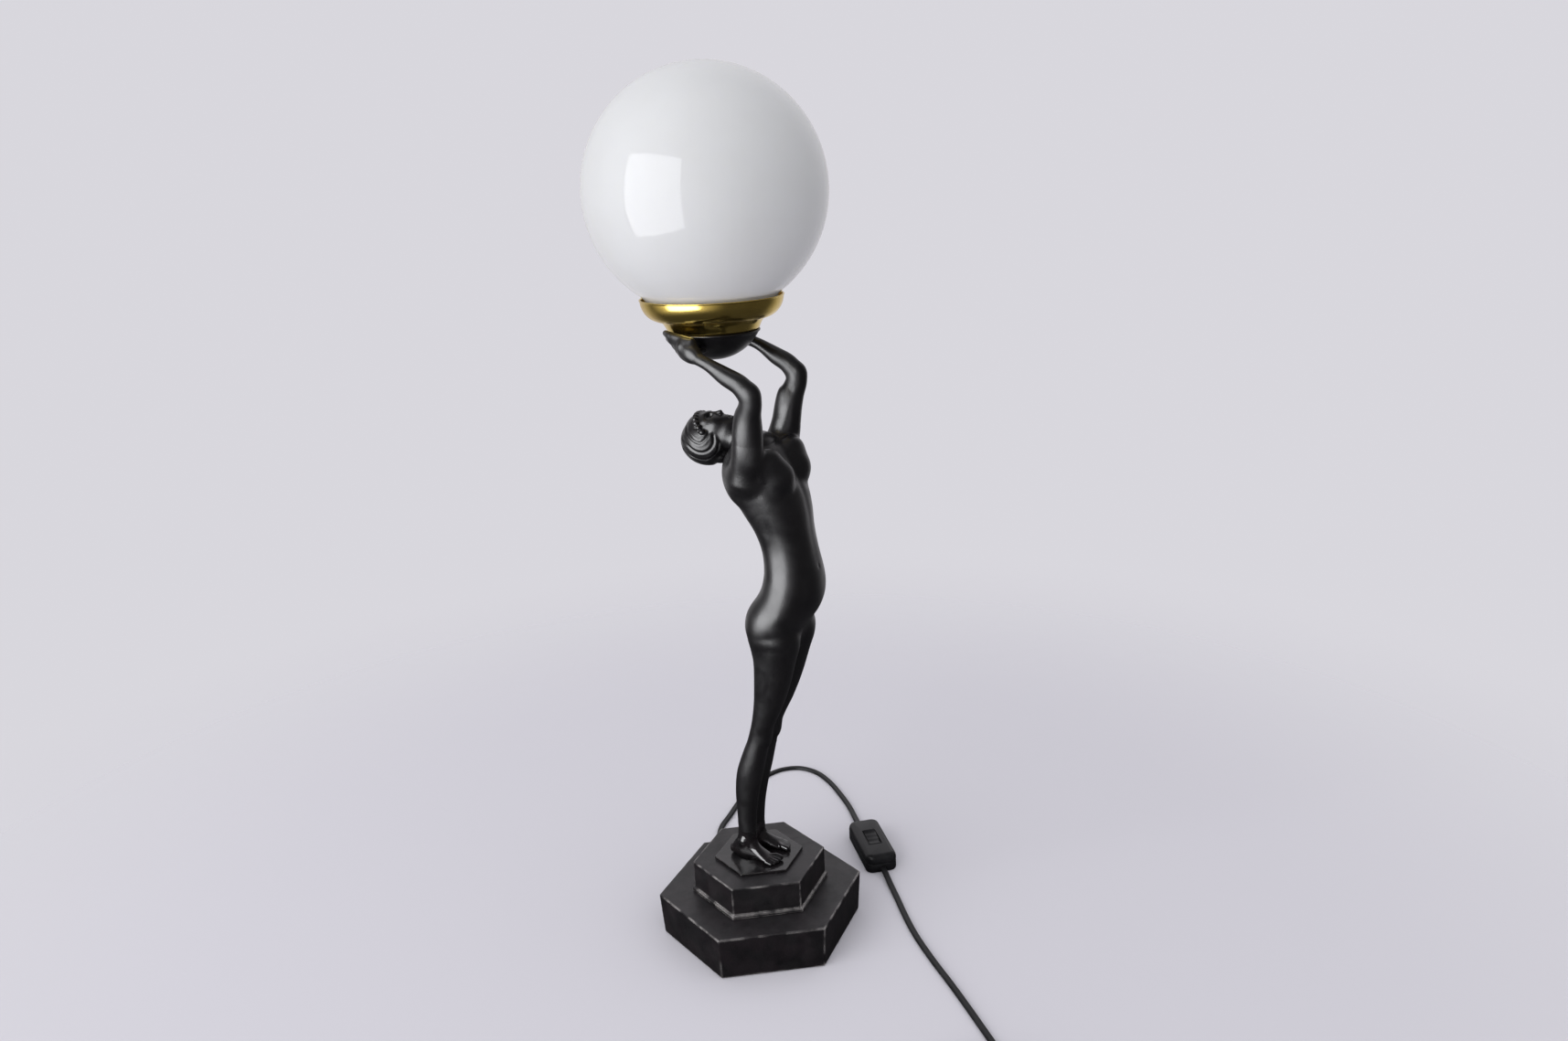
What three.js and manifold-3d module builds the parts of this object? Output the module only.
// Figural table lamp. A cast figure stands on a two-tier hexagonal base and lifts a bowl
// that carries a brass gallery and an opal glass globe. A flat twin lead leaves the back.
// Millimetres, +Z up. The origin is the centre of the felt's underside, the figure faces -Y
// and its left hand is on +X. Tables that end in Shares are shares of the figure's stature.

import * as THREE from 'three';
import { mergeVertices } from 'three/addons/utils/BufferGeometryUtils.js';
import Module from 'manifold-3d';

const wasm = await Module();
wasm.setup();

// Fits that every piece shares
const seam = 0.3;                    // gap left between two pieces that touch
const overrun = 3;                   // how far a cutting tool runs past what it cuts
const weld = 1e-4;                   // corners closer than this are one corner

// Base castings, hexagons measured at their corners
const lowerRadius = 86.5;
const lowerDraft = 2.5;              // the casting is this much narrower at its foot
const lowerHeight = 36.6;
const lowerWall = 6;
const lowerCrown = 6;
const lowerHole = 20;
const feltProud = 0.8;               // the casting's foot stands this far above the table
const ledgeRadius = 58;
const ledgeHeight = 3.3;
const upperRadius = 56;
const upperHeight = 24;
const upperWall = 8;
const upperCrown = 7;
const slabRadius = 37.4;
const slabHeight = 2.4;

// Bottom cover, felt and their screws
const feltInset = 3;                 // from the casting's foot corner to the felt's corner
const feltThickness = 1.9;
const coverThickness = 1.5;
const coverLip = 4;                  // width of the casting's rim outside the cover
const coverScrewRadius = 1.6;
const coverScrewLength = 12;
const coverBossRadius = 5;
const coverBossInset = 18;           // from the foot's corner to the boss's axis

// Tie bolt that pulls the figure and both tiers together
const boltRadius = 3;
const boltHeadRadius = 5.8;
const boltHeadHeight = 4;
const boltClearance = 0.4;
const boltForward = 8;               // the bolt stands this far in front of the centre
const bossRadius = 9;
const bossDepth = 13;
const clampLength = 58;
const clampWidth = 20;
const clampThickness = 3;

// Figure
const stature = 400;                 // natural standing height that the tables follow
const figureSides = 14;
const limbSides = 12;
const fingerSides = 6;
const headHeight = 46;
const headTilt = THREE.MathUtils.degToRad(82);
const channelRadius = 2.5;           // cored passage for the lead
const leadRadius = 1.9;
const leadSteps = 48;

// Bowl, gallery and globe, all round the same upright axis
const bowlRimShare = 1.1025;           // of the stature, above the slab
const bowlBackShare = 0.03125;
const bowlRadius = 35;
const bowlDepth = 22;
const bowlWall = 4;
const bowlBossRadius = 9;
const bowlOuterSteps = 7;
const bowlInnerSteps = 5;
const galleryWall = 1;
const galleryFloorRadius = 34.4;
const galleryStepRadius = 39.4;
const galleryRimRadius = 54.2;
const galleryLowerRise = 8.5;
const galleryHeight = 25;
const galleryBandSteps = 5;
const globeRadius = 90;
const globeWall = 3;
const globeNeckRadius = 49.6;
const roundSides = 30;
const globeRings = 11;

// Lampholder and bulb
const nippleRadius = 5;
const nippleBore = 3.2;
const nippleLength = 19;
const nippleSink = 6;                // how deep the nipple is screwed into the bowl's boss
const nutRadius = 9;
const nutHeight = 4;
const holderBaseRadius = 16;
const holderBaseHeight = 11;
const holderSkirtRadius = 20;
const holderSkirtHeight = 27;
const holderWall = 2.6;
const holderRingRadius = 24;
const holderRingHeight = 6;
const insulatorRadius = 12;
const insulatorHeight = 6;
const contactRadius = 4;
const contactHeight = 1.6;
const capRadius = 13;
const capLength = 25;
const bulbRadius = 30;
const bulbLength = 80;               // glass above its cap

// Cord and the pieces on it
const cordWidth = 5.4;
const cordThick = 3.4;
const cordLift = 0.2;                // daylight under the laid cord
const cordStride = 2.6;              // step along the laid cord, in cord widths
const tailStride = 1.8;
const reliefLength = 20;
const reliefRadius = 5.2;
const reliefTip = 3.7;
const reliefFlange = 6.4;
const reliefFlangeThick = 2;
const exitTurn = Math.PI / 6;        // the cord leaves through the face on the left of the back
const exitAside = 18;                // from that face's middle towards the back
const exitHeight = 11;
const saddleLength = 20;
const saddleWidth = 8;
const saddleHeight = 7;
const saddleScrewRadius = 1.5;
const saddleScrewLength = 11;
const switchLength = 68;
const switchWidth = 29;
const switchHeight = 17;
const switchWall = 2;
const switchCorner = 7;
const rockerLength = 22;
const rockerWidth = 11;
const rockerProud = 2.2;
const rockerDepth = 5;
const rockerPlay = 1;                // room at each end of the rocker in its window
const rockerTilt = THREE.MathUtils.degToRad(7);
const trunnionRadius = 1.6;
const trunnionLength = 2;
const terminalLength = 9;
const terminalWidth = 6;
const terminalHeight = 4.5;
const switchScrewRadius = 1.4;
const plugLength = 36;
const plugWidth = 26;
const plugThick = 13.6;
const plugCorner = 6;
const pinRadius = 2;
const pinLength = 19;
const pinSpacing = 18.6;
const pinSeat = 8;
const coilReach = 39;                // outermost turn's radius
const coilTurns = 2.6;               // in each of the two layers
const coilPitch = 6.4;
const coilLayerRise = 5.4;
const coilClimb = 0.3;               // share of a turn that climbs to the upper layer
const coilSteps = 24;                // in one turn
const coilFloor = 1.3;               // the tie's band holds the coil this far up
const coilFromRelief = new THREE.Vector2(-216.1, -281.4);
const coilStart = THREE.MathUtils.degToRad(-49.4);
const tieWidth = 8;
const tieThick = 0.9;
const tieAngle = THREE.MathUtils.degToRad(120);
const tailReach = 52;                // the plug's end of the cord, from the coil's axis
const tailTurn = THREE.MathUtils.degToRad(75);

// Routes of the laid cord, chosen by hand from the relief's tip: across, back, and height of its middle
const layHeight = cordLift + cordThick / 2;
const toSwitchRoute = [
  [11.9, 9.1, 6.4], [24.9, 21.1, 3], [37.9, 30.1, layHeight], [54.9, 35.6, layHeight], [76.9, 37.1, layHeight],
  [101.9, 39.1, layHeight], [129.9, 40.6, layHeight], [157.9, 35.6, layHeight], [179.9, 24.6, layHeight],
  [189.9, 7.6, layHeight], [186.9, -12.4, layHeight], [172.9, -32.4, layHeight], [151.9, -52.4, layHeight],
  [129.9, -70.4, layHeight], [108.9, -84.4, 2.6],
];
const toCoilRoute = [
  [9.9, -151.9, 2.6], [-9.1, -164.4, layHeight], [-29.1, -176.9, layHeight], [-53.1, -193.4, layHeight],
  [-80.1, -215.4, layHeight], [-106.1, -238.4, layHeight], [-132.1, -260.4, layHeight], [-158.1, -281.9, layHeight],
  [-175.1, -295.9, 2.5],
];
const switchFromRelief = new THREE.Vector2(58.9, -118.4);
const switchTurn = THREE.MathUtils.degToRad(34.7);
const switchEntry = 4.4;             // height of the cord where it meets the switch

// Sizes that follow from the ones above
const lowerFootRadius = lowerRadius - lowerDraft;
const lowerTop = feltProud + lowerHeight;
const upperFoot = lowerTop + seam;
const upperTop = upperFoot + ledgeHeight + upperHeight;
const slabFoot = upperTop + seam;
const slabTop = slabFoot + slabHeight;
const bowlRim = slabTop + stature * bowlRimShare;
const bowlAxis = new THREE.Vector3(0, stature * bowlBackShare, bowlRim);
const galleryFloor = bowlRim + seam;
const galleryRim = galleryFloor + galleryHeight;
const globeDrop = Math.sqrt(globeRadius ** 2 - globeNeckRadius ** 2);
const globeCentre = galleryRim + globeDrop;

// Closed mesh to solid and back
function solidOf(geometry) {
  const bare = geometry.clone();
  bare.deleteAttribute('normal');
  bare.deleteAttribute('uv');
  const merged = mergeVertices(bare, weld);
  const index = merged.index.array;
  const place = merged.attributes.position.array;
  const kept = [];
  for (let i = 0; i < index.length; i += 3) {
    const [a, b, c] = [index[i], index[i + 1], index[i + 2]];
    if (a !== b && b !== c && c !== a) kept.push(a, b, c);
  }
  let volume = 0;
  const [p, q, r] = [new THREE.Vector3(), new THREE.Vector3(), new THREE.Vector3()];
  for (let i = 0; i < kept.length; i += 3) {
    p.fromArray(place, 3 * kept[i]);
    q.fromArray(place, 3 * kept[i + 1]);
    r.fromArray(place, 3 * kept[i + 2]);
    volume += p.dot(q.cross(r));
  }
  if (volume < 0) kept.reverse();
  const triVerts = new Uint32Array(kept);
  return new wasm.Manifold(new wasm.Mesh({ numProp: 3, vertProperties: place, triVerts }));
}

function geometryOf(solid) {
  const mesh = solid.getMesh();
  const geometry = new THREE.BufferGeometry();
  geometry.setAttribute('position', new THREE.BufferAttribute(mesh.vertProperties, 3));
  geometry.setIndex(new THREE.BufferAttribute(mesh.triVerts, 1));
  geometry.computeVertexNormals();
  return geometry;
}

const joined = (solids) => solids.reduce((whole, solid) => whole.add(solid));
const cut = (solid, ...tools) => tools.reduce((rest, tool) => rest.subtract(tool), solid);

// Basic solids, upright on Z unless turned
function moved(solid, x, y, z) {
  return solid.translate([x, y, z]);
}

function turned(points, sides = roundSides) {
  const outline = points.map(([radius, height]) => new THREE.Vector2(radius, height));
  return solidOf(new THREE.LatheGeometry(outline, sides).rotateX(Math.PI / 2));
}

function rod(radius, foot, top, sides = roundSides) {
  const body = new THREE.CylinderGeometry(radius, radius, top - foot, sides);
  return moved(solidOf(body.rotateX(Math.PI / 2)), 0, 0, (foot + top) / 2);
}

function hexagon(footRadius, topRadius, foot, top) {
  const body = new THREE.CylinderGeometry(topRadius, footRadius, top - foot, 6);
  return moved(solidOf(body.rotateX(Math.PI / 2).rotateZ(Math.PI / 6)), 0, 0, (foot + top) / 2);
}

function block(length, width, height) {
  return solidOf(new THREE.BoxGeometry(length, width, height));
}

function ball(across, deep, high, sides = figureSides) {
  const rings = Math.round(sides * 0.7);
  return solidOf(new THREE.SphereGeometry(1, sides, rings).rotateX(Math.PI / 2).scale(across, deep, high));
}

function roundedBlock(length, width, height, corner) {
  const outline = new THREE.Shape();
  const [x, y] = [length / 2 - corner, width / 2 - corner];
  outline.absarc(x, y, corner, 0, Math.PI / 2);
  outline.absarc(-x, y, corner, Math.PI / 2, Math.PI);
  outline.absarc(-x, -y, corner, Math.PI, 1.5 * Math.PI);
  outline.absarc(x, -y, corner, 1.5 * Math.PI, 2 * Math.PI);
  const body = new THREE.ExtrudeGeometry(outline, { depth: height, bevelEnabled: false, curveSegments: 4 });
  return moved(solidOf(body), 0, 0, -height / 2);
}

// Square-on box behind a plane, for parting two castings
function halfSpace(point, normal, size) {
  const turn = new THREE.Quaternion().setFromUnitVectors(new THREE.Vector3(0, 0, 1), normal);
  const body = new THREE.BoxGeometry(size, size, size).translate(0, 0, size / 2);
  return solidOf(body.applyQuaternion(turn).translate(point.x, point.y, point.z));
}

// Limbs: oval sections along a smooth line. A row is side, depth, height of the centre,
// then half the width across, and the reach in front of and behind the centre.
function limb(rows, sides, steps, mirror = 1) {
  const centres = rows.map(([x, y, z]) => new THREE.Vector3(mirror * x, y, z));
  const reaches = rows.map((row) => new THREE.Vector3(row[3], row[4], row[5]));
  const line = new THREE.CatmullRomCurve3(centres, false, 'centripetal');
  const reach = new THREE.CatmullRomCurve3(reaches, false, 'centripetal');
  const across = new THREE.Vector3(1, 0, 0);
  const corners = [];
  const count = (rows.length - 1) * steps;
  for (let i = 0; i <= count; i += 1) {
    const centre = line.getPoint(i / count);
    const size = reach.getPoint(i / count);
    const along = line.getTangent(i / count);
    const side = across.clone().addScaledVector(along, -across.dot(along)).normalize();
    const back = new THREE.Vector3().crossVectors(along, side);
    for (let k = 0; k < sides; k += 1) {
      const angle = (2 * Math.PI * k) / sides;
      const depth = Math.sin(angle) > 0 ? size.z : size.y;
      const corner = centre.clone().addScaledVector(side, size.x * Math.cos(angle));
      corners.push(corner.addScaledVector(back, depth * Math.sin(angle)));
    }
  }
  return skin(corners, count + 1, sides).scale(stature).translate([0, 0, slabTop]);
}

// Closed skin over rings of corners, with a fan at each end
function skin(corners, rings, sides) {
  const index = [];
  for (let i = 0; i + 1 < rings; i += 1) {
    for (let k = 0; k < sides; k += 1) {
      const [a, b] = [i * sides + k, i * sides + ((k + 1) % sides)];
      index.push(a, b, b + sides, a, b + sides, a + sides);
    }
  }
  const last = (rings - 1) * sides;
  for (let k = 1; k + 1 < sides; k += 1) {
    index.push(0, k + 1, k, last, last + k, last + k + 1);
  }
  const geometry = new THREE.BufferGeometry().setFromPoints(corners);
  geometry.setIndex(index);
  return solidOf(geometry);
}

// A ball placed on the figure: shares of stature for its centre and its three reaches
function muscle([x, y, z, across, deep, high], mirror = 1, sides = limbSides) {
  const body = ball(stature * across, stature * deep, stature * high, sides);
  return moved(body, mirror * stature * x, stature * y, slabTop + stature * z);
}

const onFigure = (x, y, z) => new THREE.Vector3(stature * x, stature * y, slabTop + stature * z);

const torsoShares = [
  [0, -0.0825, 0.4758, 0.03, 0.025, 0.03],
  [0, -0.084, 0.5008, 0.068, 0.038, 0.045],
  [0, -0.085, 0.5282, 0.0885, 0.05, 0.059],
  [0, -0.09, 0.5608, 0.09, 0.055, 0.06],
  [0, -0.1, 0.5983, 0.0825, 0.06, 0.0537],
  [0, -0.1062, 0.6358, 0.0725, 0.0575, 0.05],
  [0, -0.1037, 0.6808, 0.0638, 0.0512, 0.05],
  [0, -0.0938, 0.7233, 0.0663, 0.05, 0.0537],
  [0, -0.08, 0.7658, 0.0762, 0.0537, 0.0638],
  [0, -0.0688, 0.8058, 0.085, 0.0563, 0.0712],
  [0, -0.06, 0.8407, 0.0875, 0.0525, 0.065],
  [0, -0.0525, 0.8683, 0.075, 0.0425, 0.05],
  [0, -0.045, 0.8882, 0.045, 0.0312, 0.0325],
];
const legShares = [
  [0.038, -0.0875, 0.54, 0.028, 0.03, 0.032],
  [0.0415, -0.086, 0.5183, 0.043, 0.043, 0.05],
  [0.0415, -0.084, 0.495, 0.0445, 0.0445, 0.0535],
  [0.038, -0.0775, 0.4583, 0.039, 0.04, 0.045],
  [0.0335, -0.0675, 0.4083, 0.033, 0.035, 0.0387],
  [0.029, -0.0537, 0.3583, 0.028, 0.0295, 0.0308],
  [0.0255, -0.0362, 0.3107, 0.0233, 0.0242, 0.0233],
  [0.0245, -0.0275, 0.2807, 0.022, 0.023, 0.025],
  [0.0245, -0.0175, 0.2432, 0.023, 0.0233, 0.03],
  [0.0245, -0.0063, 0.2007, 0.0233, 0.0245, 0.0333],
  [0.0238, 0.0037, 0.1557, 0.0203, 0.0225, 0.0288],
  [0.0225, 0.01, 0.1107, 0.0163, 0.0185, 0.0205],
  [0.0215, 0.0125, 0.0732, 0.0145, 0.0168, 0.018],
  [0.021, 0.0138, 0.0407, 0.016, 0.019, 0.021],
  [0.0205, 0.015, 0.0157, 0.0155, 0.0187, 0.0215],
];
// Foot rows run from heel to toes: side, depth, height, half width, then rise and fall
const footShares = [
  [0.018, 0.05, 0.012, 0.0085, 0.011, 0.011],
  [0.0185, 0.042, 0.016, 0.0135, 0.0175, 0.0165],
  [0.0205, 0.02, 0.02, 0.0158, 0.026, 0.0205],
  [0.0235, -0.0025, 0.016, 0.0155, 0.0205, 0.0165],
  [0.0275, -0.0245, 0.0105, 0.0178, 0.0125, 0.011],
  [0.0305, -0.0415, 0.0075, 0.0178, 0.0075, 0.008],
  [0.032, -0.0525, 0.0055, 0.0135, 0.005, 0.006],
];
const neckShares = [
  [0, -0.055, 0.8407, 0.0375, 0.03, 0.03],
  [0, -0.0375, 0.8733, 0.0312, 0.0262, 0.0262],
  [0, -0.0125, 0.892, 0.027, 0.025, 0.0238],
  [0, 0.01, 0.9008, 0.0262, 0.0262, 0.025],
];
const armShares = [
  [0.0775, -0.05, 0.8357, 0.0275, 0.0288, 0.03],
  [0.085, -0.0575, 0.8758, 0.0262, 0.0275, 0.0288],
  [0.095, -0.0688, 0.9208, 0.021, 0.023, 0.024],
  [0.1062, -0.08, 0.9633, 0.019, 0.0215, 0.0225],
  [0.113, -0.0862, 0.9958, 0.019, 0.021, 0.021],
  [0.1155, -0.0712, 1.0195, 0.0182, 0.019, 0.019],
  [0.117, -0.0425, 1.037, 0.0165, 0.0168, 0.0168],
  [0.1175, -0.0125, 1.056, 0.0125, 0.0125, 0.0125],
  [0.116, 0.0075, 1.0655, 0.0118, 0.0118, 0.0118],
  [0.11, 0.0275, 1.0735, 0.011, 0.0165, 0.0165],
  [0.103, 0.042, 1.0815, 0.0095, 0.018, 0.018],
  [0.097, 0.053, 1.087, 0.0085, 0.0165, 0.0165],
];
// Each finger: knuckle, middle joint and tip, as side, depth, height, then its radius
const fingerShares = [
  [[0.1, 0.05, 1.1], [0.0925, 0.075, 1.1045], [0.077, 0.0925, 1.108], 0.0062],
  [[0.0975, 0.048, 1.0905], [0.0885, 0.073, 1.095], [0.0715, 0.0895, 1.0965], 0.0066],
  [[0.094, 0.045, 1.0805], [0.084, 0.067, 1.0835], [0.067, 0.081, 1.0835], 0.0064],
  [[0.0885, 0.042, 1.0725], [0.0785, 0.0605, 1.073], [0.064, 0.072, 1.072], 0.0058],
  [[0.1135, 0.02, 1.085], [0.1075, 0.029, 1.1], [0.1, 0.0355, 1.108], 0.0066],
];
// Rounded masses laid on the body, both sides alike
const bodyMassShares = [
  [0.042, -0.109, 0.8195, 0.031, 0.028, 0.033],
  [0.046, -0.067, 0.529, 0.041, 0.04, 0.046],
  [0.05, -0.0225, 0.845, 0.032, 0.032, 0.05],
];

// Head: its own frame has the crown on +Z and the face on -Y before the tilt
const headShares = {
  skull: [0, -0.06, 0.05, 0.39, 0.385, 0.42],
  hair: [0, 0.07, 0.06, 0.43, 0.42, 0.465],
  jaw: [0, -0.14, -0.22, 0.28, 0.27, 0.26],
  chin: [0, -0.34, -0.37, 0.1, 0.09, 0.09],
  nose: [0, -0.43, -0.07, 0.055, 0.08, 0.12],
};
const headPlace = onFigure(0, 0.05, 0.8958);

function headMass([x, y, z, across, deep, high], sides = limbSides) {
  const body = ball(headHeight * across, headHeight * deep, headHeight * high, sides);
  const upright = moved(body, headHeight * x, headHeight * y, headHeight * z);
  const tilted = upright.rotate([-THREE.MathUtils.radToDeg(headTilt), 0, 0]);
  return moved(tilted, headPlace.x, headPlace.y, headPlace.z);
}

// The lead inside the figure, from the foot up: side, depth and height
const leadShares = [
  [-0.0225, 0.016, 0],
  [-0.0205, 0.015, 0.02],
  [-0.0215, 0.0125, 0.0732],
  [-0.0235, 0.006, 0.1557],
  [-0.0245, -0.014, 0.2432],
  [-0.0255, -0.0362, 0.3107],
  [-0.0335, -0.066, 0.4083],
  [-0.032, -0.082, 0.5058],
  [-0.025, -0.1, 0.62],
  [-0.03, -0.09, 0.7233],
  [-0.055, -0.06, 0.8058],
  [-0.085, -0.0575, 0.8758],
  [-0.1062, -0.08, 0.9633],
  [-0.1135, -0.0815, 0.998],
  [-0.1165, -0.0605, 1.0255],
  [-0.1175, -0.0125, 1.0555],
  [-0.113, 0.012, 1.0665],
  [-0.095, 0.028, 1.069],
  [-0.06, 0.03125, 1.068],
  [-0.025, 0.03125, 1.0665],
  [-0.006, 0.03125, 1.0695],
];

// The lead's way from the cord's exit to the lampholder
const backFace = (lowerFootRadius + (lowerRadius - lowerFootRadius)
  * (exitHeight - feltProud) / lowerHeight) * Math.cos(Math.PI / 6);
const coverRadius = lowerFootRadius - coverLip;
const cavityRadius = coverRadius - lowerWall;
const cavityTop = lowerTop - lowerCrown;
const innerFace = cavityRadius * Math.cos(Math.PI / 6);
const nutFoot = galleryFloor + galleryWall + seam;
const holderFoot = nutFoot + nutHeight + seam;
const leadEnd = holderFoot + 0.7 * holderBaseHeight;
function onExit(out, aside, height) {
  const [c, s] = [Math.cos(exitTurn), Math.sin(exitTurn)];
  return new THREE.Vector3(out * c - aside * s, out * s + aside * c, height);
}
const reliefEnd = onExit(backFace + reliefLength + seam, exitAside, exitHeight);
const switchPlace = switchFromRelief.clone().add(reliefEnd);
const coilPlace = coilFromRelief.clone().add(reliefEnd);
const [legFoot, ...leadThrough] = leadShares;
const leadRoute = new THREE.CatmullRomCurve3([
  onExit(innerFace - reliefFlangeThick - 2 * seam, exitAside, exitHeight),
  onExit(innerFace - 2 * lowerWall, exitAside, exitHeight),
  onExit(innerFace * 0.6, exitAside * 0.8, cavityTop - seam - saddleHeight / 2),
  onExit(innerFace * 0.26, exitAside * 0.6, cavityTop - seam - saddleHeight / 2),
  new THREE.Vector3(-lowerHole / 3, lowerHole / 2, lowerTop - lowerCrown),
  new THREE.Vector3(-lowerHole / 2, lowerHole / 2, upperFoot + ledgeHeight),
  new THREE.Vector3(stature * legFoot[0], stature * legFoot[1], upperTop - upperCrown),
  ...leadThrough.map((place) => onFigure(...place)),
  new THREE.Vector3(bowlAxis.x, bowlAxis.y, galleryFloor - nippleSink),
  new THREE.Vector3(bowlAxis.x, bowlAxis.y, leadEnd),
], false, 'centripetal');

function disc(radius, sides) {
  const outline = new THREE.Shape();
  for (let k = 0; k < sides; k += 1) {
    const angle = (2 * Math.PI * k) / sides;
    const corner = [radius * Math.cos(angle), radius * Math.sin(angle)];
    if (k === 0) outline.moveTo(...corner);
    else outline.lineTo(...corner);
  }
  outline.closePath();
  return outline;
}

function alongLead(radius) {
  const options = { steps: leadSteps, bevelEnabled: false, extrudePath: leadRoute };
  return solidOf(new THREE.ExtrudeGeometry(disc(radius, 6), options));
}

const channel = alongLead(channelRadius);

// Materials
function finish(color, roughness, metalness = 0) {
  return new THREE.MeshStandardMaterial({ color, roughness, metalness });
}
const blackCasting = finish(0x17171a, 0.45);
const brass = finish(0xc09a3a, 0.22, 1);
const opalGlass = finish(0xf2f4f6, 0.12);
const clearGlass = finish(0xe8eef2, 0.1);
const blackPlastic = finish(0x141416, 0.5);
const cordSheath = finish(0x1a1a1c, 0.6);
const steel = finish(0x9a9ca0, 0.35, 1);
const feltCloth = finish(0x20242a, 1);
const porcelain = finish(0xe6e2d8, 0.4);
const rubber = finish(0x1c1c1e, 0.8);

const lamp = new THREE.Group();

function add(name, solid, material, x = 0, y = 0, z = 0, turn = 0) {
  const mesh = new THREE.Mesh(geometryOf(solid), material);
  mesh.name = name;
  mesh.position.set(x, y, z);
  mesh.rotation.z = turn;
  lamp.add(mesh);
  return mesh;
}

// Base: hollow lower tier, closed by a screwed cover with felt
const coverTop = feltThickness + seam + coverThickness;
const rebateTop = coverTop + seam;
const bossPlaces = [0, 1, 2].map((k) => {
  const angle = (2 * Math.PI * k) / 3;
  const reach = lowerFootRadius - coverBossInset;
  return [reach * Math.cos(angle), reach * Math.sin(angle)];
});
const lowerCavity = hexagon(cavityRadius, cavityRadius, rebateTop - overrun, cavityTop);
const screwHoles = bossPlaces.map(([x, y]) => moved(
  rod(coverScrewRadius + seam, 0, rebateTop + coverScrewLength, 12), x, y, 0));
const bosses = bossPlaces.map(([x, y]) => moved(
  rod(coverBossRadius, rebateTop, lowerTop - lowerCrown / 2, 16), x, y, 0));
const faceTurn = THREE.MathUtils.radToDeg(exitTurn) - 90;
const toFace = (solid) => solid.rotate([-90, 0, 0]).rotate([0, 0, faceTurn]);
const exitPoint = onExit(backFace, exitAside, exitHeight);
const reliefBore = toFace(rod(reliefRadius + seam, innerFace - backFace - overrun, overrun, 16));
const [saddleFrom, saddleTo] = [leadRoute.points[2], leadRoute.points[3]];
const saddlePlace = saddleFrom.clone().lerp(saddleTo, 0.5);
const saddleTurn = Math.atan2(saddleTo.y - saddleFrom.y, saddleTo.x - saddleFrom.x);
const saddleFoot = cavityTop - saddleHeight - seam;
const saddleScrews = [-1, 1].map((side) => {
  const reach = side * (saddleLength / 2 - saddleScrewRadius * 2);
  return [saddlePlace.x - reach * Math.sin(saddleTurn), saddlePlace.y + reach * Math.cos(saddleTurn)];
});
const saddleScrewHoles = saddleScrews.map(([x, y]) => moved(
  rod(saddleScrewRadius + seam, saddleFoot - overrun, saddleFoot + saddleScrewLength + seam, 10), x, y, 0));

const lowerTier = cut(
  joined([
    cut(
      hexagon(lowerFootRadius, lowerRadius, feltProud, lowerTop),
      lowerCavity,
      hexagon(coverRadius + seam, coverRadius + seam, feltProud - overrun, rebateTop),
      rod(lowerHole, cavityTop - overrun, lowerTop + overrun),
    ),
    ...bosses,
  ]),
  ...screwHoles,
  ...saddleScrewHoles,
  moved(reliefBore, exitPoint.x, exitPoint.y, exitHeight),
);
add('base_lower_tier', lowerTier, blackCasting);

const screwSinks = bossPlaces.map(([x, y]) => moved(turned([
  [0, feltThickness + seam - overrun],
  [2 * coverScrewRadius + seam + overrun, feltThickness + seam - overrun],
  [coverScrewRadius + seam, coverTop],
  [coverScrewRadius + seam, coverTop + overrun],
  [0, coverTop + overrun],
], 12), x, y, 0));
add('base_cover_plate', cut(hexagon(coverRadius, coverRadius, feltThickness + seam, coverTop), ...screwSinks), steel);
bossPlaces.forEach(([x, y], k) => {
  const screw = turned([
    [0, 0],
    [2 * coverScrewRadius - seam, 0],
    [coverScrewRadius, coverThickness],
    [coverScrewRadius, coverThickness + coverScrewLength - seam],
    [0, coverThickness + coverScrewLength - seam],
  ], 12);
  add(`cover_screw_${k + 1}`, screw, steel, x, y, feltThickness + seam);
});
const feltRadius = lowerFootRadius - coverLip - feltInset;
add('felt_pad', hexagon(feltRadius, feltRadius, 0, feltThickness), feltCloth);

// Upper tier: ledge and block in one hollow casting
const upperCavity = hexagon(upperRadius - upperWall, upperRadius - upperWall,
  upperFoot - overrun, upperTop - upperCrown);
const slabBossHole = moved(rod(bossRadius + seam, upperFoot, upperTop + overrun, 20), 0, -boltForward, 0);
const upperTier = cut(
  joined([
    hexagon(ledgeRadius, ledgeRadius, upperFoot, upperFoot + ledgeHeight),
    hexagon(upperRadius, upperRadius, upperFoot, upperTop),
  ]),
  upperCavity,
  slabBossHole,
  channel,
);
add('base_upper_tier', upperTier, blackCasting);

// Tie bolt and its clamp plate under the lower tier's crown
const clampTop = cavityTop - seam;
const clampFoot = clampTop - clampThickness;
const boltTop = slabFoot - seam;
const boltHole = rod(boltRadius + boltClearance, clampFoot - overrun, boltTop + seam, 16);
const clampPlate = cut(
  moved(block(clampLength, clampWidth, clampThickness), 0, 0, clampFoot + clampThickness / 2),
  boltHole,
);
add('clamp_plate', clampPlate, steel, 0, -boltForward);
const tieBolt = joined([
  moved(hexagon(boltHeadRadius, boltHeadRadius, 0, boltHeadHeight), 0, 0, clampFoot - seam - boltHeadHeight),
  rod(boltRadius, clampFoot - seam - boltHeadHeight, boltTop, 16),
]);
add('tie_bolt', tieBolt, steel, 0, -boltForward);

// Figure: legs, trunk and neck on the slab
const shoulderPart = onFigure(0.0935, -0.067, 0.915);
const armAlong = new THREE.Vector3(0.22, -0.2, 0.955).normalize();
const neckPart = onFigure(0, -0.01, 0.893);
const neckAlong = new THREE.Vector3(0, 0.85, 0.53).normalize();
const farSize = stature / 3;

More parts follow.
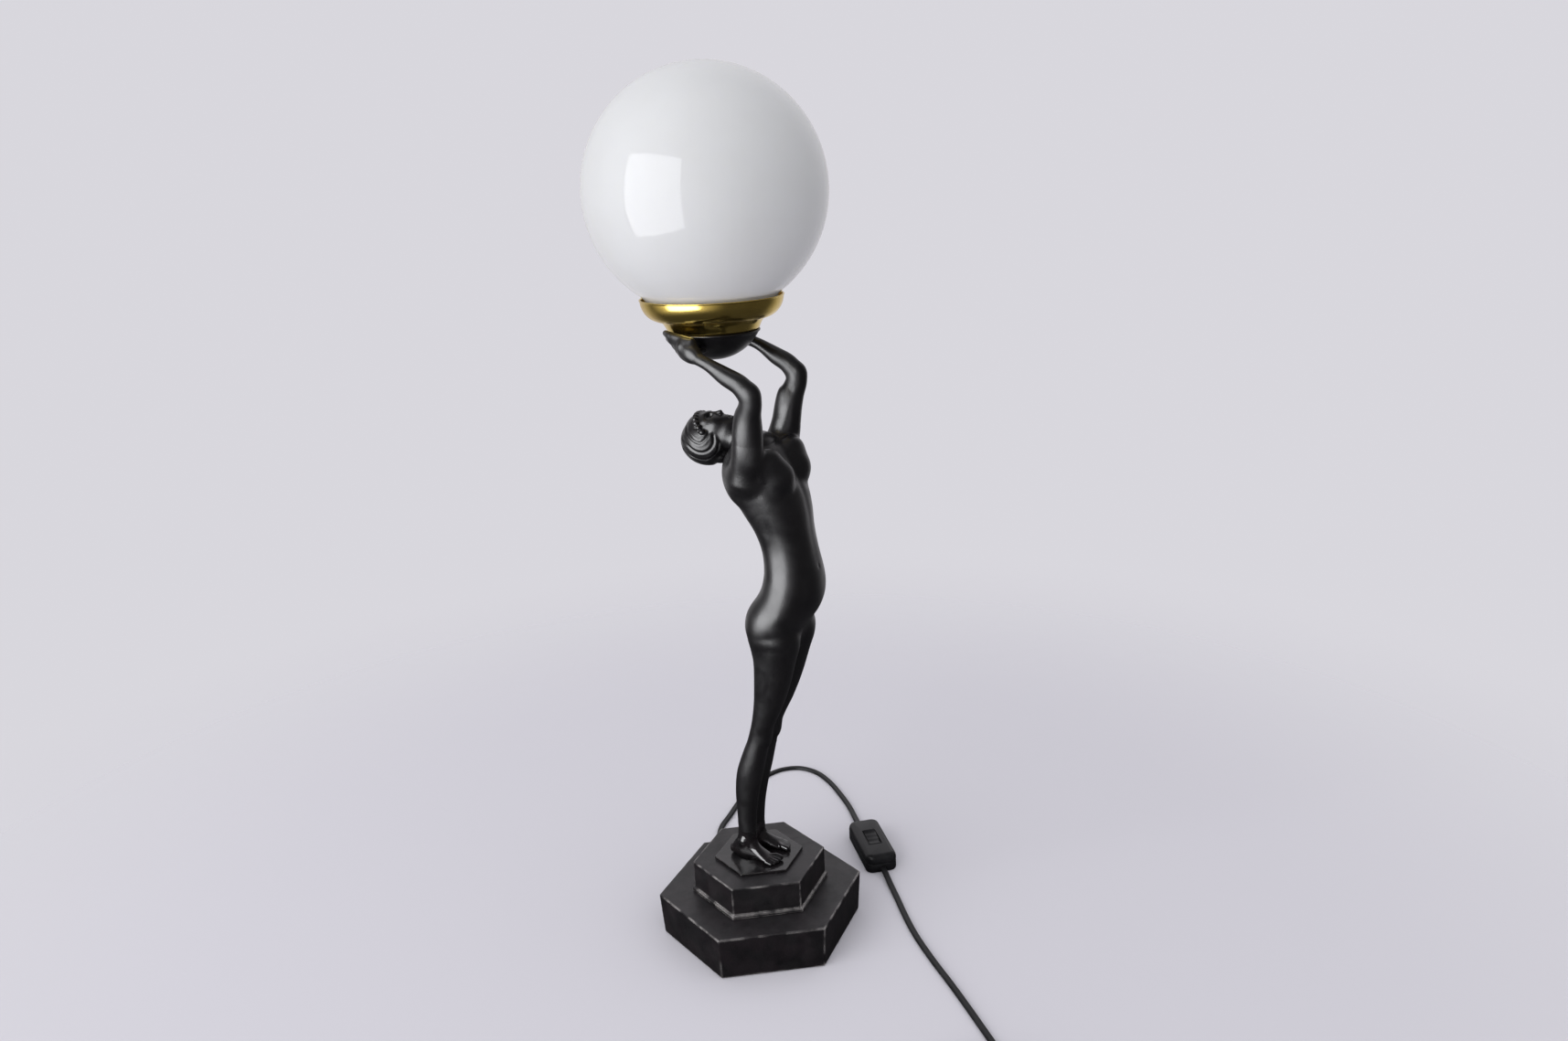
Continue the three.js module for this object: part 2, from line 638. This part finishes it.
function mirrored(point, side) {
  return new THREE.Vector3(side * point.x, point.y, point.z);
}

const footRows = (side) => limb(footShares, limbSides, 1, side);
const legs = [-1, 1].flatMap((side) => [limb(legShares, limbSides, 1, side), footRows(side)]);
const arms = [-1, 1].map((side) => limb(armShares, limbSides, 1, side));
const masses = bodyMassShares.flatMap((share) => [muscle(share, 1), muscle(share, -1)]);
const shoulderStubs = arms.map((arm, k) => {
  const side = 2 * k - 1;
  return cut(arm, halfSpace(mirrored(shoulderPart, side), mirrored(armAlong, side), farSize));
});
const neck = limb(neckShares, limbSides, 1);
const neckStub = cut(neck, halfSpace(neckPart, neckAlong, farSize));
const slab = hexagon(slabRadius, slabRadius, slabFoot, slabTop);
const slabBoss = moved(rod(bossRadius, slabFoot - bossDepth, slabTop - slabHeight / 2, 20), 0, -boltForward, 0);
const soleTrim = moved(block(farSize, farSize, farSize), 0, 0, slabTop - slabHeight / 2 - farSize / 2);
const body = cut(
  joined([cut(joined(legs), soleTrim), limb(torsoShares, figureSides, 1), neckStub, ...masses, ...shoulderStubs]),
  halfSpace(neckPart, neckAlong, farSize / 3),
);
const figureBody = cut(
  joined([body, slab, slabBoss]),
  moved(boltHole, 0, -boltForward, 0),
  channel,
);
add('figure_body', figureBody, blackCasting);

// Head with its bobbed hair, parted from the trunk across the neck
const headSolid = cut(
  joined([...Object.values(headShares).map((share) => headMass(share)), neck]),
  halfSpace(neckPart.clone().addScaledVector(neckAlong, seam), neckAlong.clone().negate(), farSize),
);
add('figure_head', headSolid, blackCasting);

// Bowl, with a boss for the nipple
const bowlSphere = (bowlRadius ** 2 + bowlDepth ** 2) / (2 * bowlDepth);
function bowlArc(radius, steps) {
  const points = [];
  const reach = Math.acos((bowlSphere - bowlDepth) / radius);
  for (let i = 0; i <= steps; i += 1) {
    const angle = (reach * i) / steps;
    points.push([radius * Math.sin(angle), bowlRim - bowlDepth + bowlSphere - radius * Math.cos(angle)]);
  }
  return points;
}
const bowlOuter = bowlArc(bowlSphere, bowlOuterSteps);
const bowlInner = bowlArc(bowlSphere - bowlWall, bowlInnerSteps).reverse();
const nippleFoot = galleryFloor - nippleSink;
const bowlTurned = joined([
  turned([...bowlOuter, ...bowlInner], roundSides),
  rod(bowlBossRadius, bowlRim - bowlDepth + bowlWall / 2, bowlRim, 20),
]);
const bowlCut = cut(
  moved(bowlTurned, bowlAxis.x, bowlAxis.y, 0),
  moved(rod(nippleRadius + seam, nippleFoot - seam, bowlRim + overrun, 20), bowlAxis.x, bowlAxis.y, 0),
  channel,
);
add('bowl', bowlCut, blackCasting);

// Arms with their hands, resting the bowl in both palms
function finger([knuckle, joint, tip, radius], side) {
  const rows = [knuckle, joint, tip].map(([x, y, z]) => [x, y, z, radius, radius, radius]);
  return limb(rows, fingerSides, 2, side);
}
const bowlRoom = moved(turned([
  [0, bowlRim - bowlDepth - seam],
  ...bowlArc(bowlSphere + seam, bowlOuterSteps).slice(1),
  [bowlRadius + seam, bowlRim + overrun],
  [0, bowlRim + overrun],
], roundSides), bowlAxis.x, bowlAxis.y, 0);
const palmTop = moved(block(farSize, farSize, farSize), 0, 0, bowlRim + farSize / 2);
['figure_right_arm', 'figure_left_arm'].forEach((name, k) => {
  const side = 2 * k - 1;
  const part = mirrored(shoulderPart, side).addScaledVector(mirrored(armAlong, side), seam);
  const hand = fingerShares.map((share) => finger(share, side));
  const arm = cut(
    joined([arms[k], ...hand]),
    halfSpace(part, mirrored(armAlong, side).negate(), farSize),
    bowlRoom,
    palmTop,
    channel,
  );
  add(name, arm, blackCasting);
});

// Gallery: a pan, a step and a wider flared band, spun from one sheet
const galleryOutline = [
  [galleryFloorRadius, 0],
  [galleryFloorRadius + 0.15 * (galleryStepRadius - galleryFloorRadius), galleryLowerRise * 0.2],
  [galleryFloorRadius + 0.45 * (galleryStepRadius - galleryFloorRadius), galleryLowerRise * 0.6],
  [galleryStepRadius, galleryLowerRise],
];
const galleryBand = (inset) => {
  const across = galleryRimRadius - galleryStepRadius;
  const high = galleryHeight - galleryLowerRise;
  const points = [];
  for (let i = 1; i <= galleryBandSteps; i += 1) {
    const angle = (Math.PI / 2) * (i / galleryBandSteps);
    points.push([
      galleryStepRadius + across * Math.sin(angle) - inset,
      galleryLowerRise + high * (1 - Math.cos(angle)) + (i < galleryBandSteps ? inset : 0),
    ]);
  }
  return points;
};
const galleryInside = [
  ...galleryBand(galleryWall).reverse(),
  [galleryStepRadius - galleryWall, galleryLowerRise + galleryWall],
  [galleryFloorRadius - galleryWall, galleryWall],
];
const gallery = cut(
  turned([[0, 0], ...galleryOutline, ...galleryBand(0), ...galleryInside, [0, galleryWall]], roundSides),
  rod(nippleRadius + seam, -overrun, overrun, 20),
);
add('gallery', gallery, brass, bowlAxis.x, bowlAxis.y, galleryFloor);

// Nipple, locknut and lampholder
const nipple = cut(
  rod(nippleRadius, 0, nippleLength, 20),
  rod(nippleBore, -overrun, nippleLength + overrun, 16),
);
add('threaded_nipple', nipple, steel, bowlAxis.x, bowlAxis.y, nippleFoot);
const locknut = cut(hexagon(nutRadius, nutRadius, 0, nutHeight), rod(nippleRadius + seam, -overrun, nutHeight + overrun, 20));
add('gallery_locknut', locknut, brass, bowlAxis.x, bowlAxis.y, nutFoot);

const holderBase = cut(
  turned([
    [0, 0],
    [nutRadius, 0],
    [holderBaseRadius, holderBaseHeight / 2],
    [holderBaseRadius, holderBaseHeight],
    [0, holderBaseHeight],
  ], 24),
  rod(nippleRadius + seam, -overrun, nippleFoot + nippleLength - holderFoot + seam, 20),
  rod(holderBaseRadius - holderWall, holderBaseHeight / 2, holderBaseHeight + overrun, 24),
);
add('holder_base', holderBase, blackPlastic, bowlAxis.x, bowlAxis.y, holderFoot);

const skirtFoot = holderFoot + holderBaseHeight + seam;
const skirtBore = capRadius + 2 * seam;
const holderSkirt = turned([
  [skirtBore, insulatorHeight + seam],
  [insulatorRadius + seam, insulatorHeight + seam],
  [insulatorRadius + seam, 0],
  [holderSkirtRadius - holderWall, 0],
  [holderSkirtRadius, holderWall],
  [holderSkirtRadius, holderSkirtHeight],
  [skirtBore, holderSkirtHeight],
  [skirtBore, insulatorHeight + seam],
], 24);
add('holder_skirt', holderSkirt, blackPlastic, bowlAxis.x, bowlAxis.y, skirtFoot);
const insulatorCut = cut(
  rod(insulatorRadius, 0, insulatorHeight, 24),
  rod(contactRadius / 2 + seam, -overrun, insulatorHeight + overrun, 12),
);
add('holder_insulator', insulatorCut, porcelain, bowlAxis.x, bowlAxis.y, skirtFoot);
const centreContact = joined([
  rod(contactRadius / 2, insulatorHeight / 3, insulatorHeight + seam + contactHeight, 12),
  rod(contactRadius, insulatorHeight + seam, insulatorHeight + seam + contactHeight, 12),
]);
add('holder_centre_contact', centreContact, brass, bowlAxis.x, bowlAxis.y, skirtFoot);
const holderRing = cut(
  rod(holderRingRadius, 0, holderRingHeight, 24),
  rod(holderSkirtRadius + seam, -overrun, holderRingHeight + overrun, 24),
);
add('holder_ring', holderRing, blackPlastic, bowlAxis.x, bowlAxis.y, skirtFoot + holderSkirtHeight / 2);

// Bulb: screw cap and glass envelope, one part that turns
const capFoot = skirtFoot + insulatorHeight + contactHeight + 2 * seam;
const bulbCap = turned([
  [0, 0],
  [contactRadius, 0],
  [capRadius - holderWall, holderWall],
  [capRadius, 2 * holderWall],
  [capRadius, capLength],
  [0, capLength],
], 20);
add('bulb_cap', bulbCap, steel, bowlAxis.x, bowlAxis.y, capFoot);
const bulbOutline = [[0, 0], [capRadius - seam, 0]];
for (let i = 0; i <= 8; i += 1) {
  const angle = THREE.MathUtils.lerp(-0.62, Math.PI / 2, i / 8);
  bulbOutline.push([bulbRadius * Math.cos(angle) * (i < 8), bulbLength - bulbRadius + bulbRadius * Math.sin(angle)]);
}
add('bulb_glass', turned(bulbOutline, 20), clearGlass, bowlAxis.x, bowlAxis.y, capFoot + capLength + seam);

// Globe: blown shell with a short straight neck that stands in the gallery
function globeArc(radius, neck) {
  const points = [];
  const start = Math.acos(neck / radius);
  for (let i = 0; i <= globeRings; i += 1) {
    const angle = THREE.MathUtils.lerp(-start, Math.PI / 2, i / globeRings);
    points.push([i === globeRings ? 0 : radius * Math.cos(angle), radius * Math.sin(angle)]);
  }
  return points;
}
const seatEdge = galleryInside.findIndex(([radius]) => radius < globeNeckRadius);
const [seatOuter, seatInner] = [galleryInside[seatEdge - 1], galleryInside[seatEdge]];
const seatShare = (globeNeckRadius - seatInner[0]) / (seatOuter[0] - seatInner[0]);
const seatHeight = THREE.MathUtils.lerp(seatInner[1], seatOuter[1], seatShare);
const neckFoot = galleryFloor + seatHeight + seam - globeCentre;
const globe = turned([
  [globeNeckRadius - globeWall, neckFoot],
  [globeNeckRadius, neckFoot],
  ...globeArc(globeRadius, globeNeckRadius),
  ...globeArc(globeRadius - globeWall, globeNeckRadius - globeWall).reverse(),
  [globeNeckRadius - globeWall, neckFoot],
], roundSides);
add('globe', globe, opalGlass, bowlAxis.x, bowlAxis.y, globeCentre);

// Lead inside the lamp, its saddle under the crown, and the tapered relief at the back
add('inner_lead', alongLead(leadRadius), cordSheath);
const saddle = cut(
  moved(block(saddleWidth, saddleLength, saddleHeight).rotate([0, 0, THREE.MathUtils.radToDeg(saddleTurn)]),
    saddlePlace.x, saddlePlace.y, saddleFoot + saddleHeight / 2),
  channel,
  ...saddleScrewHoles,
);
add('lead_saddle', saddle, blackPlastic);
saddleScrews.forEach(([x, y], k) => {
  const screw = joined([
    rod(2 * saddleScrewRadius, -saddleScrewRadius, 0, 10),
    rod(saddleScrewRadius, -saddleScrewRadius, saddleScrewLength, 10),
  ]);
  add(`saddle_screw_${k + 1}`, screw, steel, x, y, saddleFoot - seam);
});
const relief = toFace(turned([
  [0, innerFace - backFace - seam - reliefFlangeThick],
  [reliefFlange, innerFace - backFace - seam - reliefFlangeThick],
  [reliefFlange, innerFace - backFace - seam],
  [reliefRadius, innerFace - backFace - seam],
  [reliefRadius, reliefFlangeThick],
  [reliefRadius * 0.9, reliefLength / 3],
  [reliefTip, reliefLength],
  [0, reliefLength],
], 16));
add('cord_relief', relief, rubber, exitPoint.x, exitPoint.y, exitHeight);

// Laid cord: a flat oval drawn along its route
function flatOval() {
  const outline = new THREE.Shape();
  outline.absellipse(0, 0, cordThick / 2, cordWidth / 2, 0, 2 * Math.PI);
  return new THREE.Shape(outline.getPoints(2).slice(0, -1));
}
function laidCord(points, stride) {
  const line = new THREE.CatmullRomCurve3(points, false, 'centripetal');
  const steps = Math.round(line.getLength() / (stride * cordWidth));
  const options = { steps, bevelEnabled: false, extrudePath: line };
  return { solid: solidOf(new THREE.ExtrudeGeometry(flatOval(), options)), length: line.getLength() };
}
const asPoints = (route) => route.map(([x, y, z]) => new THREE.Vector3(reliefEnd.x + x, reliefEnd.y + y, z));

// Switch, built lengthwise on +X at its own middle and then turned to the cord
const switchAlong = new THREE.Vector2(Math.cos(switchTurn), Math.sin(switchTurn));
function onSwitch(along, height) {
  const place = switchPlace.clone().addScaledVector(switchAlong, along);
  return new THREE.Vector3(place.x, place.y, height);
}
const parting = switchHeight / 2;
const shellCavity = (foot, top) => moved(
  roundedBlock(switchLength - 2 * switchWall, switchWidth - 2 * switchWall, top - foot, switchCorner - switchWall),
  0, 0, (foot + top) / 2);
const lowerShellHeight = parting - seam / 2;
const screwReach = switchLength / 2 - switchCorner;
const lowerScrewHole = rod(switchScrewRadius + seam, -overrun, switchHeight, 10);
const sinkHole = rod(2 * switchScrewRadius + seam, -overrun, 2 * switchScrewRadius, 10);
const screwPosts = [-1, 1].map((side) => moved(
  rod(3 * switchScrewRadius, 0, lowerShellHeight, 12), side * screwReach, 0, 0));
const lowerShell = cut(
  joined([
    cut(
      moved(roundedBlock(switchLength, switchWidth, lowerShellHeight, switchCorner), 0, 0, lowerShellHeight / 2),
      shellCavity(switchWall, parting + overrun),
    ),
    ...screwPosts,
  ]),
  ...[-1, 1].flatMap((side) => [
    moved(lowerScrewHole, side * screwReach, 0, 0),
    moved(sinkHole, side * screwReach, 0, 0),
  ]),
);
const atSwitch = [switchPlace.x, switchPlace.y, 0, switchTurn];
add('switch_lower_shell', lowerShell, blackPlastic, ...atSwitch);

const pivotHeight = switchHeight - rockerDepth + rockerProud / 4;
const windowHalf = rockerLength / 2 + rockerPlay;
const lugWidth = trunnionLength + 2 * seam;
const lugMiddle = rockerWidth / 2 + seam + lugWidth / 2;
const lugs = [-1, 1].map((side) => moved(
  block(4.4 * trunnionRadius, lugWidth, switchHeight - pivotHeight + 2.2 * trunnionRadius),
  0, side * lugMiddle, (switchHeight + pivotHeight - 2.2 * trunnionRadius) / 2));
const trunnionBore = rod(trunnionRadius + seam, -switchWidth / 2 + switchWall, switchWidth / 2 - switchWall, 14)
  .rotate([90, 0, 0]);
const upperPosts = [-1, 1].map((side) => moved(
  rod(3 * switchScrewRadius, parting + seam / 2, switchHeight - switchWall / 2, 12), side * screwReach, 0, 0));
const upperHeightSpan = switchHeight - parting - seam / 2;
const upperShell = cut(
  joined([
    cut(
      moved(roundedBlock(switchLength, switchWidth, upperHeightSpan, switchCorner),
        0, 0, switchHeight - upperHeightSpan / 2),
      shellCavity(parting - overrun, switchHeight - switchWall),
    ),
    ...upperPosts,
    ...lugs,
  ]),
  moved(block(2 * windowHalf, rockerWidth + 2 * seam, switchHeight), 0, 0, switchHeight),
  moved(trunnionBore, 0, 0, pivotHeight),
  ...[-1, 1].map((side) => moved(
    rod(switchScrewRadius + seam, 0, switchHeight - switchWall, 10), side * screwReach, 0, 0)),
);
add('switch_upper_shell', upperShell, blackPlastic, ...atSwitch);

// Rocker: a shallow V that tips on two trunnions, at rest with its far end up
const rockerTop = switchHeight - pivotHeight;
const rockerOutline = new THREE.Shape([
  [-rockerLength / 2, rockerTop + rockerProud / 2],
  [-rockerLength / 2, -rockerTop / 3],
  [-rockerLength / 4, -rockerTop * 0.8],
  [rockerLength / 4, -rockerTop * 0.8],
  [rockerLength / 2, -rockerTop / 3],
  [rockerLength / 2, rockerTop + rockerProud / 2],
  [0, rockerTop],
].map(([x, z]) => new THREE.Vector2(x, z)));
const rockerBody = solidOf(new THREE.ExtrudeGeometry(rockerOutline, { depth: rockerWidth, bevelEnabled: false }));
const rocker = joined([
  moved(rockerBody, 0, 0, -rockerWidth / 2).rotate([90, 0, 0]),
  rod(trunnionRadius, -rockerWidth / 2 - trunnionLength, rockerWidth / 2 + trunnionLength, 14).rotate([90, 0, 0]),
]).rotate([0, -THREE.MathUtils.radToDeg(rockerTilt), 0]);
add('switch_rocker', rocker, blackPlastic, switchPlace.x, switchPlace.y, pivotHeight, switchTurn);

[-1, 1].forEach((side, k) => {
  const screwFoot = 2 * switchScrewRadius - seam;
  const screw = joined([
    rod(2 * switchScrewRadius, screwFoot - switchScrewRadius, screwFoot, 10),
    rod(switchScrewRadius, screwFoot - switchScrewRadius, switchHeight - switchWall - seam, 10),
  ]);
  const place = onSwitch(side * screwReach, 0);
  add(`switch_screw_${k + 1}`, screw, steel, place.x, place.y, 0, switchTurn);
  const terminal = cut(
    block(terminalLength, terminalWidth, terminalHeight),
    moved(rod(terminalWidth / 4, -terminalHeight, terminalHeight, 10), terminalLength / 4, 0, terminalHeight / 2),
  );
  const seat = onSwitch(side * (screwReach - 3 * switchScrewRadius - terminalLength), 0);
  add(`switch_terminal_${k + 1}`, terminal, brass, seat.x, seat.y,
    switchWall + seam + terminalHeight / 2, switchTurn);
});

const reliefRun = onExit(backFace + reliefLength + 2 * cordWidth, exitAside, exitHeight * 0.9);
const switchEnd = switchLength / 2 + seam;
const toSwitch = laidCord([
  reliefEnd,
  reliefRun,
  ...asPoints(toSwitchRoute),
  onSwitch(switchEnd + cordWidth, switchEntry),
  onSwitch(switchEnd, switchEntry),
], cordStride);
add('cord_to_switch', toSwitch.solid, cordSheath);

// Coil: one unbroken flat cord that spirals in on the lower layer and out on the upper
const coilLow = coilFloor + cordThick / 2;
const coilSections = [];
const coilCount = Math.round(2 * coilTurns * coilSteps);
function coilStation(turns) {
  const past = turns - coilTurns;
  const radius = coilReach - coilPitch * (coilTurns - Math.abs(past));
  const climb = THREE.MathUtils.smoothstep(past, -coilClimb / 2, coilClimb / 2);
  const angle = coilStart - 2 * Math.PI * turns;
  const out = new THREE.Vector3(Math.cos(angle), Math.sin(angle), 0);
  const centre = new THREE.Vector3(coilPlace.x, coilPlace.y, coilLow + climb * coilLayerRise);
  return { centre: centre.addScaledVector(out, radius), out };
}
for (let i = 0; i <= coilCount; i += 1) coilSections.push(coilStation((2 * coilTurns * i) / coilCount));
const coilHeading = (section, sense) => new THREE.Vector3(section.out.y, -section.out.x, 0).multiplyScalar(sense);
function straightEnd(section, sense) {
  return { centre: section.centre.clone().addScaledVector(coilHeading(section, sense), cordWidth), out: section.out };
}
const coilFirst = straightEnd(coilSections[0], -1);
const coilLast = straightEnd(coilSections[coilCount], 1);
const allSections = [coilFirst, ...coilSections, coilLast];
const coilCorners = allSections.flatMap(({ centre, out }) => [0, 1, 2, 3, 4, 5].map((k) => {
  const angle = (Math.PI * k) / 3;
  const corner = centre.clone().addScaledVector(out, (cordWidth / 2) * Math.cos(angle));
  corner.z += (cordThick / 2) * Math.sin(angle);
  return corner;
}));
add('cord_coil', skin(coilCorners, allSections.length, 6), cordSheath);

function coilGap() {
  let least = Infinity;
  const apart = Math.round(coilSteps / 2) * 6;
  for (let i = 0; i < coilCorners.length; i += 1) {
    for (let k = i + apart; k < coilCorners.length; k += 1) {
      least = Math.min(least, coilCorners[i].distanceTo(coilCorners[k]));
    }
  }
  return least;
}
const coilLength = allSections.slice(1).reduce(
  (sum, { centre }, i) => sum + centre.distanceTo(allSections[i].centre), 0);
console.log(`coil: least gap ${coilGap().toFixed(2)} mm, cord wound ${coilLength.toFixed(0)} mm`);

const toCoil = laidCord([
  onSwitch(-switchEnd, switchEntry),
  onSwitch(-switchEnd - cordWidth, switchEntry),
  ...asPoints(toCoilRoute),
  coilFirst.centre.clone().addScaledVector(coilHeading(coilFirst, -1), cordWidth + seam),
  coilFirst.centre.clone().addScaledVector(coilHeading(coilFirst, -1), seam),
], cordStride);
add('cord_to_coil', toCoil.solid, cordSheath);

// Tie: a flat band closed round the coil's bundle
const bundleIn = coilReach - coilPitch * coilTurns - cordWidth / 2 - seam;
const bundleOut = coilReach + cordWidth / 2 + seam;
const bundleLow = coilLow - cordThick / 2 - seam;
const bundleHigh = coilLow + coilLayerRise + cordThick / 2 + seam;
const bundleBlock = (grow) => moved(
  block(bundleOut - bundleIn + 2 * grow, tieWidth + (grow > 0 ? 0 : 2 * overrun), bundleHigh - bundleLow + 2 * grow),
  (bundleIn + bundleOut) / 2, 0, (bundleLow + bundleHigh) / 2);
add('cord_tie', cut(bundleBlock(tieThick), bundleBlock(0)), rubber, coilPlace.x, coilPlace.y, 0, tieAngle);

// Plug: flat two-pin body at the tail's end, lying beside the coil
const tailAngle = coilStart - 4 * Math.PI * coilTurns - tailTurn;
const tailEnd = new THREE.Vector3(
  coilPlace.x + tailReach * Math.cos(tailAngle), coilPlace.y + tailReach * Math.sin(tailAngle), plugThick / 2);
const plugHeading = new THREE.Vector3(Math.sin(tailAngle), -Math.cos(tailAngle), 0);
const plugTurn = Math.atan2(plugHeading.y, plugHeading.x);
const tailPoint = (share, reach, height) => {
  const angle = coilStart - 4 * Math.PI * coilTurns - share * tailTurn;
  return new THREE.Vector3(coilPlace.x + reach * Math.cos(angle), coilPlace.y + reach * Math.sin(angle), height);
};
const toPlug = laidCord([
  coilLast.centre.clone().addScaledVector(coilHeading(coilLast, 1), seam),
  coilLast.centre.clone().addScaledVector(coilHeading(coilLast, 1), cordWidth),
  tailPoint(0.5, 0.88 * tailReach, 0.7 * coilLow + 0.3 * coilLayerRise),
  tailPoint(0.8, 0.985 * tailReach, coilLow + 0.4 * coilLayerRise),
  tailEnd.clone().addScaledVector(plugHeading, -cordWidth),
  tailEnd,
], tailStride);
add('cord_to_plug', toPlug.solid, cordSheath);
const pinHole = rod(pinRadius + seam / 2, plugLength - pinSeat, plugLength + overrun, 12).rotate([0, 90, 0]);
const plugSleeve = turned([
  [0, seam],
  [reliefTip, seam],
  [reliefRadius, plugLength / 3],
  [0, plugLength / 3],
], 14).rotate([0, 90, 0]);
const plugBody = cut(
  joined([
    moved(roundedBlock(plugLength * 0.75, plugWidth, plugThick, plugCorner), plugLength * 0.625, 0, 0),
    plugSleeve,
  ]),
  moved(pinHole, 0, pinSpacing / 2, 0),
  moved(pinHole, 0, -pinSpacing / 2, 0),
);
add('plug_body', plugBody, blackPlastic, tailEnd.x, tailEnd.y, plugThick / 2, plugTurn);
[-1, 1].forEach((side, k) => {
  const pin = turned([
    [0, plugLength - pinSeat + seam],
    [pinRadius, plugLength - pinSeat + seam],
    [pinRadius, plugLength + pinLength - pinRadius],
    [pinRadius / 2, plugLength + pinLength],
    [0, plugLength + pinLength],
  ], 12).rotate([0, 90, 0]);
  add(`plug_pin_${k + 1}`, moved(pin, 0, side * pinSpacing / 2, 0), brass, tailEnd.x, tailEnd.y, plugThick / 2, plugTurn);
});

const wholeCord = toSwitch.length + switchLength + toCoil.length + coilLength + toPlug.length;
console.log(`cord: ${wholeCord.toFixed(0)} mm from the relief to the plug`);

export default lamp;
